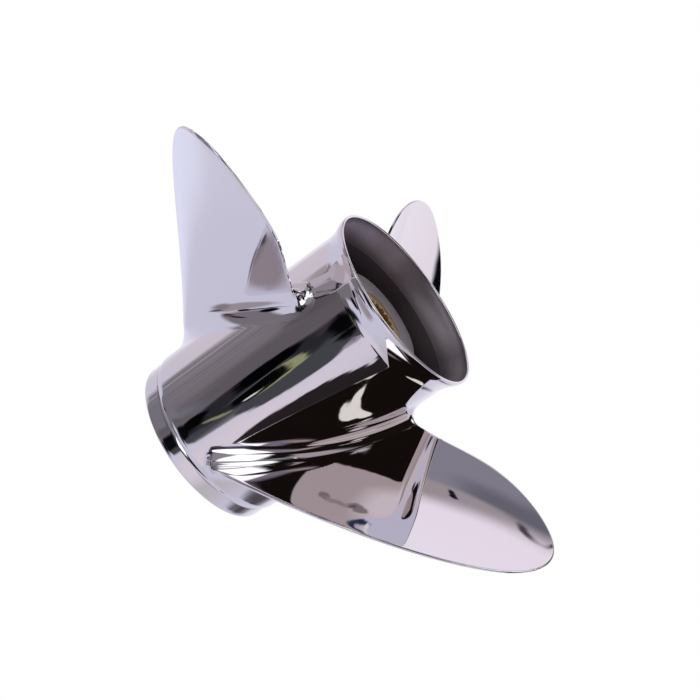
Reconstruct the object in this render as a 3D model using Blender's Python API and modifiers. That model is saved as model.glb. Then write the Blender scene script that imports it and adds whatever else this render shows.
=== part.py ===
"""Three-blade, right-hand outboard propeller with the exhaust through its hub, in stainless steel.

Units are metres. +Z is the shaft axis and points aft, away from the gearcase. The origin is on
the shaft axis in the plane of the hub's front end, so the propeller stands on its front collar.
"""

import math

import bmesh
import bpy
import numpy as np

# Driving dimensions
INCH = 0.0254
DIAMETER = 14.75 * INCH
PITCH = 21.0 * INCH
BLADE_COUNT = 3
FIRST_BLADE_ANGLE = math.radians(90.0)

# Clearance between pieces that touch on the real propeller
GAP = 0.0003

# Front collar, the stepped ring that meets the gearcase
COLLAR_RADIUS = 0.0578
COLLAR_BORE = 0.0540
COLLAR_LENGTH = 0.0125
COLLAR_EDGE = 0.0014

# Barrel, tapering a little from its rounded shoulder to the waist
BARREL_RADIUS = 0.0593
SHOULDER_LENGTH = 0.0045
SHOULDER_START = 0.0581
WAIST_RADIUS = 0.0589
BARREL_BORE = 0.0554

# Exhaust flare, the bell at the aft end
FLARE_START = 0.1520
HUB_LENGTH = 0.1702
FLARE_RADIUS = 0.0631
FLARE_TURN = 0.72
FLARE_WALL_ROOT = 0.0029
FLARE_WALL_LIP = 0.0019
LIP_ROUND = 0.0009

# Inner hub, the tube that holds the rubber bushing and the splined sleeve
INNER_HUB_FRONT = 0.0200
INNER_HUB_AFT = 0.1484
INNER_HUB_RADIUS = 0.0342
INNER_HUB_BORE = 0.0295
END_WALL = 0.0060
EDGE_BREAK = 0.0006
SLEEVE_RADIUS = 0.0198
SLEEVE_FRONT = 0.0240
SPLINE_TEETH = 15
SPLINE_ROOT_RADIUS = 0.0135
SPLINE_TIP_RADIUS = 0.0114
SPLINE_ROOT_SHARE = 0.52
SPLINE_TIP_SHARE = 0.32

# Ribs between the inner hub and the barrel
RIB_THICKNESS = 0.0050
RIB_FRONT = 0.0280
RIB_AFT = 0.1250

# Blades. Stations run from 0 at the root line inside the barrel to 1 at the tip.
ROOT_LINE_RADIUS = 0.0517
ROOT_LINE_HEIGHT = 0.0648
STATIONS = (0.0, 0.22, 0.45, 0.66, 0.84, 1.0)
HALF_CHORDS = (0.0675, 0.0668, 0.0764, 0.0722, 0.0725, 0.0679)
TIP_FULLNESS = 3.15
PITCH_GAIN = 1.0205
SKEW = (0.0314, 0.0654, -0.0067)
RAKE = 0.0573
NOSE_DROOP = 0.0424
CUP = 0.0544
LEADING_TRIM = 0.0105
TRIM_REACH = 0.0200
ROOT_THICKNESS = 0.0086
TIP_THICKNESS = 0.0030
EDGE_THICKNESS = 0.0021
EDGE_SQUARENESS = 12
THINNING_POWER = 1.5
AFT_SHARE = 0.36
NOSE_FULLNESS = 0.6
TIP_FLATTENING = 8
BLADE_FRONT = 0.0130
FOLLOW_REACH = 0.0200
SIDE_FILLET = 0.0115
LEADING_FILLET = 0.0060
TRAILING_FILLET = 0.0120
LAST_STATION = 0.9995

# Facets
TURN_STEPS = 72
FLARE_TURN_STEPS = 48
COLLAR_EDGE_STEPS = 3
SHOULDER_STEPS = 4
FLARE_STEPS = 4
LIP_STEPS = 4
SECTION_POINTS = 32
FILLET_RINGS = 5
BLADE_RINGS = 15
ROOT_CAP_ROWS = 4
SHARP_ANGLE = math.radians(30.0)
WELD_DISTANCE = 0.00001

COLLECTION_NAME = "outboard_propeller"


def clear_scene():
    """Remove every object of the opened scene."""
    for obj in list(bpy.data.objects):
        bpy.data.objects.remove(obj, do_unlink=True)


def new_collection():
    """Add the collection that holds the propeller's parts."""
    collection = bpy.data.collections.new(COLLECTION_NAME)
    bpy.context.scene.collection.children.link(collection)
    return collection


def make_material(name, colour, roughness, metallic):
    """A Principled material with the part's own colour, roughness and metallic value."""
    material = bpy.data.materials.new(name)
    material.use_nodes = True
    shader = material.node_tree.nodes["Principled BSDF"]
    shader.inputs["Base Color"].default_value = (*colour, 1.0)
    shader.inputs["Roughness"].default_value = roughness
    shader.inputs["Metallic"].default_value = metallic
    return material


def place(obj, collection, material):
    """Put a finished object in the propeller's collection with its material, shaded smooth."""
    for other in list(obj.users_collection):
        other.objects.unlink(obj)
    collection.objects.link(obj)
    obj.data.materials.clear()
    obj.data.materials.append(material)
    obj.data.shade_smooth()
    obj.data.set_sharp_from_angle(angle=SHARP_ANGLE)


def turned(name, outline, steps, collection, material):
    """A ring turned about Z from a closed outline of (radius, height) that starts down its outer side."""
    mesh = bpy.data.meshes.new(name)
    points = [(radius, 0.0, height) for radius, height in outline]
    edges = [(i, (i + 1) % len(points)) for i in range(len(points))]
    mesh.from_pydata(points, edges, [])
    obj = bpy.data.objects.new(name, mesh)
    collection.objects.link(obj)
    screw = obj.modifiers.new("Turn", "SCREW")
    screw.axis = "Z"
    screw.angle = math.tau
    screw.steps = steps
    screw.render_steps = steps
    screw.use_merge_vertices = True
    screw.merge_threshold = WELD_DISTANCE
    screw.use_smooth_shade = True
    mesh.materials.append(material)
    return obj


def barrel_radius(height):
    """Outer radius of the barrel and the flare at a height, without the front shoulder's rounding."""
    shoulder_top = COLLAR_LENGTH + SHOULDER_LENGTH
    taper = np.clip((height - shoulder_top) / (FLARE_START - shoulder_top), 0.0, 1.0)
    return BARREL_RADIUS + (WAIST_RADIUS - BARREL_RADIUS) * taper


def shoulder_radius(height):
    """Outer radius of the barrel with its rounded front shoulder."""
    rise = np.clip((COLLAR_LENGTH + SHOULDER_LENGTH - height) / SHOULDER_LENGTH, 0.0, 1.0)
    drop = (BARREL_RADIUS - SHOULDER_START) * (1.0 - np.sqrt(1.0 - rise**2))
    return barrel_radius(height) - drop


def flare_rise(share):
    """How far the flare has opened, from 0 to 1: hollow up to FLARE_TURN, then rounded over."""
    if share < FLARE_TURN:
        return share**2 / FLARE_TURN
    return 1.0 - (1.0 - share) ** 2 / (1.0 - FLARE_TURN)


def collar_outline():
    """Section of the front collar, with its rounded front edge."""
    top = COLLAR_LENGTH - GAP / 2
    arc = [
        (
            COLLAR_RADIUS - COLLAR_EDGE * (1.0 - math.cos(angle)),
            COLLAR_EDGE * (1.0 - math.sin(angle)),
        )
        for angle in np.linspace(0.0, math.pi / 2, COLLAR_EDGE_STEPS + 1)
    ]
    return [(COLLAR_RADIUS, top)] + arc + [(COLLAR_BORE, 0.0), (COLLAR_BORE, top)]


def barrel_outline():
    """Section of the barrel between the collar and the flare."""
    bottom = COLLAR_LENGTH + GAP / 2
    top = FLARE_START - GAP / 2
    swing = np.linspace(math.pi / 2, 0.0, SHOULDER_STEPS + 1)[:-1]
    heights = [COLLAR_LENGTH + SHOULDER_LENGTH * (1.0 - math.cos(angle)) for angle in swing]
    outer = [(float(shoulder_radius(height)), height) for height in heights if height > bottom]
    foot = (float(shoulder_radius(bottom)), bottom)
    return [(WAIST_RADIUS, top)] + outer + [foot, (BARREL_BORE, bottom), (BARREL_BORE, top)]


def flare_outline():
    """Section of the exhaust flare, a wall that thins to a rounded lip."""
    bottom = FLARE_START + GAP / 2
    top = HUB_LENGTH - LIP_ROUND
    outer = []
    inner = []
    for share in np.linspace(0.0, 1.0, FLARE_STEPS + 1):
        height = bottom + (top - bottom) * share
        radius = WAIST_RADIUS + (FLARE_RADIUS - WAIST_RADIUS) * flare_rise(share)
        wall = FLARE_WALL_ROOT + (FLARE_WALL_LIP - FLARE_WALL_ROOT) * share
        outer.append((radius, height))
        inner.append((radius - wall, height))
    lip_centre = FLARE_RADIUS - FLARE_WALL_LIP / 2
    lip = [
        (lip_centre + FLARE_WALL_LIP / 2 * math.sin(angle), top + LIP_ROUND * math.cos(angle))
        for angle in np.linspace(-math.pi / 2, math.pi / 2, LIP_STEPS + 1)[1:-1]
    ]
    return lip[::-1] + outer[::-1] + inner


def inner_hub_outline():
    """Section of the inner hub: a tube with an end wall round the sleeve's aft end."""
    wall_bottom = INNER_HUB_AFT - END_WALL
    return [
        (INNER_HUB_RADIUS, INNER_HUB_AFT - EDGE_BREAK),
        (INNER_HUB_RADIUS, INNER_HUB_FRONT + EDGE_BREAK),
        (INNER_HUB_RADIUS - EDGE_BREAK, INNER_HUB_FRONT),
        (INNER_HUB_BORE, INNER_HUB_FRONT),
        (INNER_HUB_BORE, wall_bottom),
        (SLEEVE_RADIUS + GAP, wall_bottom),
        (SLEEVE_RADIUS + GAP, INNER_HUB_AFT),
        (INNER_HUB_RADIUS - EDGE_BREAK, INNER_HUB_AFT),
    ]


def bushing_outline():
    """Section of the rubber bushing between the inner hub's bore and the sleeve."""
    bottom = SLEEVE_FRONT + GAP
    top = INNER_HUB_AFT - END_WALL - GAP
    outer = INNER_HUB_BORE - GAP
    inner = SLEEVE_RADIUS + GAP
    return [(outer, top), (outer, bottom), (inner, bottom), (inner, top)]


def spline_outline():
    """Points of the sleeve's toothed bore: flat-topped teeth with straight flanks."""
    step = math.tau / SPLINE_TEETH
    corners = (
        (SPLINE_ROOT_RADIUS, -SPLINE_ROOT_SHARE / 2),
        (SPLINE_ROOT_RADIUS, SPLINE_ROOT_SHARE / 2),
        (SPLINE_TIP_RADIUS, 0.5 - SPLINE_TIP_SHARE / 2),
        (SPLINE_TIP_RADIUS, 0.5 + SPLINE_TIP_SHARE / 2),
    )
    points = []
    for tooth in range(SPLINE_TEETH):
        for radius, share in corners:
            angle = step * (tooth + share)
            points.append((radius * math.cos(angle), radius * math.sin(angle)))
    return points


def circle_outline(radius, count):
    """Points of a circle about Z."""
    angles = [math.tau * i / count for i in range(count)]
    return [(radius * math.cos(angle), radius * math.sin(angle)) for angle in angles]


def spline_sleeve(collection, material):
    """The brass sleeve: a round outline with a toothed hole, extruded along the shaft."""
    length = INNER_HUB_AFT - SLEEVE_FRONT
    curve = bpy.data.curves.new("spline_sleeve_outline", "CURVE")
    curve.dimensions = "2D"
    curve.fill_mode = "BOTH"
    curve.extrude = length / 2
    outlines = (circle_outline(SLEEVE_RADIUS, 4 * SPLINE_TEETH), spline_outline())
    for outline in outlines:
        spline = curve.splines.new("POLY")
        spline.points.add(len(outline) - 1)
        for point, (x, y) in zip(spline.points, outline):
            point.co = (x, y, 0.0, 1.0)
        spline.use_cyclic_u = True
    outline_object = bpy.data.objects.new("spline_sleeve_outline", curve)
    outline_object.location.z = SLEEVE_FRONT + length / 2
    collection.objects.link(outline_object)
    bpy.context.view_layer.update()
    graph = bpy.context.evaluated_depsgraph_get()
    mesh = bpy.data.meshes.new_from_object(outline_object.evaluated_get(graph))
    mesh.name = "spline_sleeve"
    sleeve = bpy.data.objects.new("spline_sleeve", mesh)
    sleeve.matrix_world = outline_object.matrix_world.copy()
    bpy.data.objects.remove(outline_object, do_unlink=True)
    weld = bmesh.new()
    weld.from_mesh(mesh)
    bmesh.ops.remove_doubles(weld, verts=weld.verts, dist=WELD_DISTANCE)
    bmesh.ops.recalc_face_normals(weld, faces=weld.faces)
    weld.to_mesh(mesh)
    weld.free()
    collection.objects.link(sleeve)
    place(sleeve, collection, material)
    return sleeve


def rib(number, collection, material):
    """A straight web between the inner hub and the barrel, midway between two blades."""
    inner = INNER_HUB_RADIUS + GAP
    outer = math.sqrt((BARREL_BORE - GAP) ** 2 - (RIB_THICKNESS / 2) ** 2)
    angle = FIRST_BLADE_ANGLE + math.tau * (number + 0.5) / BLADE_COUNT
    bpy.ops.mesh.primitive_cube_add(size=1.0)
    obj = bpy.context.object
    obj.name = f"rib_{number + 1}"
    obj.scale = (outer - inner, RIB_THICKNESS, RIB_AFT - RIB_FRONT)
    bpy.ops.object.transform_apply(location=False, rotation=False, scale=True)
    middle = (inner + outer) / 2
    obj.location = (middle * math.cos(angle), middle * math.sin(angle), (RIB_FRONT + RIB_AFT) / 2)
    obj.rotation_euler.z = angle
    place(obj, collection, material)
    return obj


HALF_CHORD_CURVE = np.polynomial.Polynomial.fit(STATIONS, HALF_CHORDS, 4)


def station_of(radius):
    """Station of a radius, from 0 at the root line to 1 at the tip."""
    return (radius - ROOT_LINE_RADIUS) / (DIAMETER / 2 - ROOT_LINE_RADIUS)


def fillet_share(lift, size):
    """Width of a root fillet at a height above the barrel, as a share of its size."""
    depth = np.minimum(lift / size, 1.0)
    return 1.0 - np.sqrt(2.0 * depth - depth**2)


def section(lift):
    """Outline of the blade's section at a height above the barrel, as (along the helix, across it).

    The points start at the trailing edge and run over the aft side to the leading edge and back.
    The forward side bulges more than the aft side, and the leading half is fuller than the trailing
    one. Near the barrel the leading edge is cut back and the root fillet grows the outline.
    """
    station = min(station_of(WAIST_RADIUS + lift), LAST_STATION)
    half_chord = HALF_CHORD_CURVE(station) * math.sqrt(1.0 - station**TIP_FULLNESS)
    thinning = (1.0 - station) ** THINNING_POWER
    thickness = TIP_THICKNESS + (ROOT_THICKNESS - TIP_THICKNESS) * thinning
    angles = math.tau * np.arange(SECTION_POINTS) / SECTION_POINTS
    share = np.cos(angles)
    rounding = np.sqrt(np.clip(1.0 - share**EDGE_SQUARENESS, 0.0, 1.0))
    bulge = (1.0 - share**2) ** np.where(share < 0.0, NOSE_FULLNESS, 1.0)
    body = (thickness - EDGE_THICKNESS) * bulge * (1.0 - station**TIP_FLATTENING)
    aft_side = EDGE_THICKNESS / 2 * rounding + AFT_SHARE * body
    forward_side = EDGE_THICKNESS / 2 * rounding + (1.0 - AFT_SHARE) * body
    across = np.where(np.sin(angles) > 0.0, aft_side, -forward_side)
    across[[0, SECTION_POINTS // 2]] = 0.0
    trim = LEADING_TRIM * max(1.0 - lift / TRIM_REACH, 0.0) ** 2
    along = np.where(share < 0.0, half_chord - trim, half_chord) * share
    run = np.roll(along, -1) - np.roll(along, 1)
    climb = np.roll(across, -1) - np.roll(across, 1)
    length = np.hypot(run, climb)
    size = np.where(share < 0.0, LEADING_FILLET, TRAILING_FILLET)
    grown_along = along + fillet_share(lift, size) * size * climb / length
    grown_across = across - fillet_share(lift, SIDE_FILLET) * SIDE_FILLET * run / length
    return grown_along, grown_across, half_chord


def on_cylinder(lift, along, across, half_chord):
    """World points of a section's outline, with the blade's skew, rake, drooped nose and cup."""
    radius = WAIST_RADIUS + lift
    station = station_of(radius)
    helix = math.atan(PITCH * PITCH_GAIN / (math.tau * radius))
    skew = sum(term * station ** (power + 1) for power, term in enumerate(SKEW))
    share = along / half_chord
    cup = half_chord * CUP * np.clip(share, 0.0, None) ** 2
    droop = half_chord * NOSE_DROOP * np.clip(-share, 0.0, None) ** 2 * (1.0 - station)
    path = skew + along
    turn = FIRST_BLADE_ANGLE + (path * math.cos(helix) - across * math.sin(helix)) / radius
    height = ROOT_LINE_HEIGHT + path * math.sin(helix) + across * math.cos(helix)
    height = np.maximum(height + RAKE * station + cup - droop, BLADE_FRONT)
    follow = np.clip(1.0 - lift / FOLLOW_REACH, 0.0, 1.0)
    real_radius = radius + follow * (barrel_radius(height) - WAIST_RADIUS)
    return np.stack([real_radius * np.cos(turn), real_radius * np.sin(turn), height], axis=-1)


def ring_lifts():
    """Heights of the blade's rings above the barrel: close in the fillet, then wider to the tip."""
    reach = DIAMETER / 2 - WAIST_RADIUS
    fillet = SIDE_FILLET * np.linspace(0.0, 1.0, FILLET_RINGS + 1) ** 2
    fillet[0] = GAP
    share = np.linspace(0.0, 1.0, BLADE_RINGS + 1)[1:]
    blade = SIDE_FILLET + (reach - SIDE_FILLET) * np.sin(share * math.pi / 2)
    return np.concatenate([fillet, blade[:-1], [SIDE_FILLET + (reach - SIDE_FILLET) * LAST_STATION]])


def blade_mesh():
    """One blade, lofted from sections on cylinders round the shaft, with its fillet and round tip."""
    form = bmesh.new()
    rings = []
    for lift in ring_lifts():
        along, across, half_chord = section(lift)
        points = on_cylinder(lift, along, across, half_chord)
        rings.append([form.verts.new(point) for point in points])
    for lower, upper in zip(rings, rings[1:]):
        for i in range(SECTION_POINTS):
            j = (i + 1) % SECTION_POINTS
            form.faces.new((lower[i], lower[j], upper[j], upper[i]))
    close_root(form, rings[0])
    tip = form.verts.new(tip_point())
    for i in range(SECTION_POINTS):
        form.faces.new((rings[-1][i], rings[-1][(i + 1) % SECTION_POINTS], tip))
    bmesh.ops.recalc_face_normals(form, faces=form.faces)
    mesh = bpy.data.meshes.new("blade")
    form.to_mesh(mesh)
    form.free()
    return mesh


def tip_point():
    """The blade's outermost point, on the propeller's full diameter."""
    middle = np.zeros(1)
    return on_cylinder(DIAMETER / 2 - WAIST_RADIUS, middle, middle, 1.0)[0]


def close_root(form, ring):
    """Close the blade's foot with rows of faces that follow the barrel's round surface."""
    along, across, half_chord = section(GAP)
    half = SECTION_POINTS // 2
    rows = [[ring[0]] * (ROOT_CAP_ROWS + 1)]
    for i in range(1, half):
        j = SECTION_POINTS - i
        shares = np.linspace(0.0, 1.0, ROOT_CAP_ROWS + 1)[1:-1]
        middle_along = along[i] + (along[j] - along[i]) * shares
        middle_across = across[i] + (across[j] - across[i]) * shares
        points = on_cylinder(GAP, middle_along, middle_across, half_chord)
        rows.append([ring[i]] + [form.verts.new(point) for point in points] + [ring[j]])
    rows.append([ring[half]] * (ROOT_CAP_ROWS + 1))
    for first, second in zip(rows, rows[1:]):
        for i in range(ROOT_CAP_ROWS):
            corners = [first[i], first[i + 1], second[i + 1], second[i]]
            form.faces.new(list(dict.fromkeys(corners)))


def blades(collection, material):
    """The blades, all of one mesh, turned about the shaft."""
    mesh = blade_mesh()
    for number in range(BLADE_COUNT):
        obj = bpy.data.objects.new(f"blade_{number + 1}", mesh)
        obj.rotation_euler.z = math.tau * number / BLADE_COUNT
        collection.objects.link(obj)
        place(obj, collection, material)


def main():
    """Build the propeller."""
    clear_scene()
    collection = new_collection()
    polished = make_material("polished_stainless", (0.77, 0.76, 0.79), 0.06, 1.0)
    cast = make_material("satin_cast_stainless", (0.42, 0.41, 0.42), 0.42, 1.0)
    brass = make_material("machined_brass", (0.72, 0.55, 0.28), 0.28, 1.0)
    rubber = make_material("bushing_rubber", (0.02, 0.02, 0.02), 0.8, 0.0)
    turned("front_collar", collar_outline(), TURN_STEPS, collection, polished)
    turned("hub_barrel", barrel_outline(), TURN_STEPS, collection, polished)
    turned("exhaust_flare", flare_outline(), FLARE_TURN_STEPS, collection, polished)
    turned("inner_hub", inner_hub_outline(), TURN_STEPS, collection, cast)
    turned("rubber_bushing", bushing_outline(), TURN_STEPS, collection, rubber)
    spline_sleeve(collection, brass)
    for number in range(BLADE_COUNT):
        rib(number, collection, cast)
    blades(collection, polished)


main()
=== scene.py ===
"""Looks of an outboard propeller: mirror-polished cast stainless steel with a brass and rubber hub kit.

One turned skin stands for the front collar, the barrel and the exhaust flare. Three dense lofts stand
for the blades, and finer meshes for the inner hub, its ribs, the rubber bushing and the brass sleeve.
Lengths are metres in the part's own frame, where +Z runs aft along the shaft.
"""

import logging
import math
from dataclasses import dataclass, field
from enum import Enum

import bpy
import numpy as np
from mathutils import Matrix, Vector


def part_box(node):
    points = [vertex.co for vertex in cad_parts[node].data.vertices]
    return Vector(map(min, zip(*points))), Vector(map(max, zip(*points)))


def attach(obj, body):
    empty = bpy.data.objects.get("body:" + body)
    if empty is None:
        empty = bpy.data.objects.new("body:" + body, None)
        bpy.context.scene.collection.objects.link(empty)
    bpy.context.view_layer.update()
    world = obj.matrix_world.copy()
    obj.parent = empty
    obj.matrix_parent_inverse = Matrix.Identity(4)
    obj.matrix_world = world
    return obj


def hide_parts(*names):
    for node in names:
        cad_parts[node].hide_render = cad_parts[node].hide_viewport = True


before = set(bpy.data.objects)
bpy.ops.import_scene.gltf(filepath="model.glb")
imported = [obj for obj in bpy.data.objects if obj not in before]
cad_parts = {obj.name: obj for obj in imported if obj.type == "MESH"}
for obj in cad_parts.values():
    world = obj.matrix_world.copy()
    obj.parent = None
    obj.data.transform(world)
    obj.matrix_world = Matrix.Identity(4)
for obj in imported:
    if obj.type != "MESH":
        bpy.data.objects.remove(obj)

LOG = logging.getLogger("propeller")
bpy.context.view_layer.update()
BODY = "root"
MM = 0.001
INCH = 0.0254
SHARP_ANGLE = math.radians(32.0)
FIRST_BLADE_ANGLE = math.radians(90.0)
PITCH_FIT = 1.0205
NOISE_MIDDLE = 0.5

Piece = bpy.types.Object
Material = bpy.types.Material
Socket = bpy.types.NodeSocket
Tree = bpy.types.NodeTree
Point = tuple[float, float]
Colour = tuple[float, float, float, float]


class Slot(Enum):
    """The record's material slots."""

    POLISHED = "polished_stainless"
    CAST = "satin_cast_stainless"
    BRASS = "machined_brass"
    RUBBER = "bushing_rubber"


def linear(hex_colour: str) -> Colour:
    """Turn an sRGB hex colour into the linear colour that Blender's sockets take.

    Args:
        hex_colour: six hex digits after a hash sign.

    Returns:
        Linear red, green and blue, and an alpha of 1.
    """
    shares = [int(hex_colour[i : i + 2], 16) / 255.0 for i in (1, 3, 5)]
    toe, slope, offset, power = 0.04045, 12.92, 0.055, 2.4
    bent = [s / slope if s <= toe else ((s + offset) / (1.0 + offset)) ** power for s in shares]
    return (bent[0], bent[1], bent[2], 1.0)


def add_node(tree: Tree, kind: str, settings: dict, inputs: dict) -> bpy.types.Node:
    """Add one node with its settings, values and links.

    Args:
        tree: the node tree that gets the node.
        kind: the node's type name without its ShaderNode prefix.
        settings: attributes of the node by name.
        inputs: input sockets by name or number, each with a value or the output socket to link.

    Returns:
        The new node.
    """
    node = tree.nodes.new("ShaderNode" + kind)
    for name, value in settings.items():
        setattr(node, name, value)
    for key, value in inputs.items():
        if isinstance(value, Socket):
            tree.links.new(value, node.inputs[key])
        else:
            node.inputs[key].default_value = value
    return node


def new_material(name: str, values: dict[str, float | Colour]) -> tuple[Material, Tree, bpy.types.Node]:
    """Start a material.

    Args:
        name: the material's name.
        values: what is the same all over it, by the Principled shader's socket.

    Returns:
        The material, its node tree and its Principled shader.
    """
    material = bpy.data.materials.new(name)
    material.use_nodes = True
    shader = material.node_tree.nodes["Principled BSDF"]
    for socket, value in values.items():
        shader.inputs[socket].default_value = value
    return material, material.node_tree, shader


def add_clouds(tree: Tree, place: Socket, size: float, colours: tuple[str, str], detail: float) -> Socket:
    """Add two colours that drift into one another in soft clouds.

    Args:
        tree: the material's node tree.
        place: the point on the piece.
        size: length of a cloud.
        colours: the two sRGB hex colours.
        detail: number of finer layers in the clouds.

    Returns:
        The clouded colour.
    """
    noise = add_node(tree, "TexNoise", {}, {"Vector": place, "Scale": 1.0 / size, "Detail": detail})
    return add_node(tree, "Mix", {"data_type": "RGBA"}, {
        "Factor": noise.outputs[0], 6: linear(colours[0]), 7: linear(colours[1]),
    }).outputs[2]


def add_relief(
    tree: Tree, place: Socket, size: float, depth: float, detail: float = 0.0, below: Socket | None = None
) -> Socket:
    """Add an uneven surface.

    Args:
        tree: the material's node tree.
        place: the point on the piece.
        size: length of the unevenness.
        depth: height of the unevenness.
        detail: number of finer layers in it.
        below: normal of a coarser relief that this one lies on.

    Returns:
        The uneven surface's normal.
    """
    noise = add_node(tree, "TexNoise", {}, {"Vector": place, "Scale": 1.0 / size, "Detail": detail})
    under = {} if below is None else {"Normal": below}
    return add_node(tree, "Bump", {}, {"Height": noise.outputs[0], "Distance": depth, **under}).outputs[0]


class Finish(Enum):
    """The finishes in use. The casting is buffed outside, ground in its flare and painted darker further
    in, as shade.
    """

    HUB_MIRROR = "buffed_hub_stainless"
    BLADE_MIRROR = "buffed_blade_stainless"
    FLARE = "ground_flare_stainless"
    # The bore and front face take a darker copy of the cast steel: painted shade of the deep recess.
    DEPTH = "sooted_cast_stainless"
    CAST = "blasted_cast_stainless"
    BRASS = "turned_brass"
    RUBBER = "moulded_nitrile_rubber"


Finishes = dict[Finish, Material]


@dataclass(frozen=True)
class PolishedStainless:
    """Investment-cast stainless steel, belt-ground and buffed to a mirror.

    It gives the eye hard, near-black and white reflections whose edges wander a little, because a
    buffed casting is never quite true, and a faint haze of buffing lines.
    """

    name: str = Finish.BLADE_MIRROR.value
    colour: str = "#e9e6ea"
    roughness: float = 0.014
    swell_length: float = 26.0 * MM
    swell_depth: float = 0.022 * MM
    swell_stretch: float = 1.0
    ripple_length: float = 7.0 * MM
    ripple_depth: float = 0.0022 * MM
    # Buffing lines are too fine to show, so the haze that they leave is drawn in streaks 3 mm wide.
    haze_length: float = 3.0 * MM
    haze_stretch: float = 0.12
    haze_detail: float = 5.0
    haze_band: tuple[float, float] = (0.35, 0.75)
    haze: float = 0.018

    def material(self) -> Material:
        """Build the buffed steel: slow swells and short ripples in the surface, and streaked gloss.

        Returns:
            The material.
        """
        values = {"Base Color": linear(self.colour), "Metallic": 1.0}
        material, tree, shader = new_material(self.name, values)
        place = add_node(tree, "TexCoord", {}, {}).outputs["Object"]
        streaks = add_node(tree, "Mapping", {}, {"Vector": place, "Scale": (1.0, 1.0, self.haze_stretch)})
        haze = add_node(tree, "TexNoise", {}, {
            "Vector": streaks.outputs[0], "Scale": 1.0 / self.haze_length, "Detail": self.haze_detail,
        })
        gloss = add_node(tree, "MapRange", {}, {
            "Value": haze.outputs[0], "From Min": self.haze_band[0], "From Max": self.haze_band[1],
            "To Min": self.roughness, "To Max": self.roughness + self.haze,
        })
        tree.links.new(gloss.outputs[0], shader.inputs["Roughness"])
        drawn = add_node(tree, "Mapping", {}, {"Vector": place, "Scale": (1.0, 1.0, self.swell_stretch)})
        swells = add_relief(tree, drawn.outputs[0], self.swell_length, self.swell_depth)
        ripples = add_relief(tree, place, self.ripple_length, self.ripple_depth, below=swells)
        tree.links.new(ripples, shader.inputs["Normal"])
        return material


@dataclass(frozen=True)
class BlastedStainless:
    """The same casting left as blasted or only ground, inside the hub where no buffing wheel reaches.

    It gives the eye a soft, even grey without images in it, with a fine grain and small dark pits.
    """

    name: str = Finish.CAST.value
    colour: str = "#b9b2ba"
    dark: str = "#a19aa2"
    metallic: float = 0.6
    roughness: float = 0.45
    # The real grain and pits are a fraction of this size and too fine to show, so they are drawn coarser.
    grain_size: float = 0.5 * MM
    grain_depth: float = 0.03 * MM
    pit_spacing: float = 5.0 * MM
    pit_share: float = 0.15
    pit_core: float = 0.4
    pit_tone: float = 0.45
    cloud_size: float = 14.0 * MM

    def material(self) -> Material:
        """Build the blasted steel: grain in the surface, slow clouds of tone and scattered pits.

        Returns:
            The material.
        """
        values = {"Metallic": self.metallic, "Roughness": self.roughness}
        material, tree, shader = new_material(self.name, values)
        place = add_node(tree, "TexCoord", {}, {}).outputs["Object"]
        tone = add_clouds(tree, place, self.cloud_size, (self.colour, self.dark), detail=4.0)
        cells = add_node(tree, "TexVoronoi", {}, {
            "Vector": place, "Scale": 1.0 / self.pit_spacing, "Randomness": 1.0,
        })
        pit = add_node(tree, "MapRange", {"interpolation_type": "SMOOTHSTEP"}, {
            "Value": cells.outputs["Distance"], "From Min": self.pit_share * self.pit_core,
            "From Max": self.pit_share, "To Min": self.pit_tone, "To Max": 1.0,
        })
        worn = add_node(tree, "Mix", {"data_type": "RGBA", "blend_type": "MULTIPLY"}, {
            "Factor": 1.0, 6: tone, 7: pit.outputs[0],
        })
        tree.links.new(worn.outputs[2], shader.inputs["Base Color"])
        grain = add_relief(tree, place, self.grain_size, self.grain_depth, detail=3.0)
        tree.links.new(grain, shader.inputs["Normal"])
        return material


@dataclass(frozen=True)
class TurnedBrass:
    """Free-cutting brass, turned and broached, gone a little dull.

    It gives the eye a pale tan metal with fine rings from the lathe tool round the shaft.
    """

    name: str = Finish.BRASS.value
    colour: str = "#ecd3a6"
    dull: str = "#d4b27e"
    roughness: float = 0.34
    # A lathe tool leaves rings about 0.1 mm apart, too fine to show, so they are drawn coarser.
    ring_pitch: float = 0.35 * MM
    ring_depth: float = 0.006 * MM
    ring_waver: float = 0.4
    patch_size: float = 5.0 * MM

    def material(self) -> Material:
        """Build the brass: dull patches, and tool rings round Z.

        Returns:
            The material.
        """
        material, tree, shader = new_material(self.name, {"Metallic": 1.0, "Roughness": self.roughness})
        place = add_node(tree, "TexCoord", {}, {}).outputs["Object"]
        tone = add_clouds(tree, place, self.patch_size, (self.colour, self.dull), detail=3.0)
        tree.links.new(tone, shader.inputs["Base Color"])
        rings = add_node(tree, "TexWave", {"wave_type": "RINGS", "rings_direction": "Z"}, {
            "Vector": place, "Scale": 1.0 / self.ring_pitch / math.tau, "Distortion": self.ring_waver,
        })
        bump = add_node(tree, "Bump", {}, {"Height": rings.outputs[0], "Distance": self.ring_depth})
        tree.links.new(bump.outputs[0], shader.inputs["Normal"])
        return material


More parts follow.
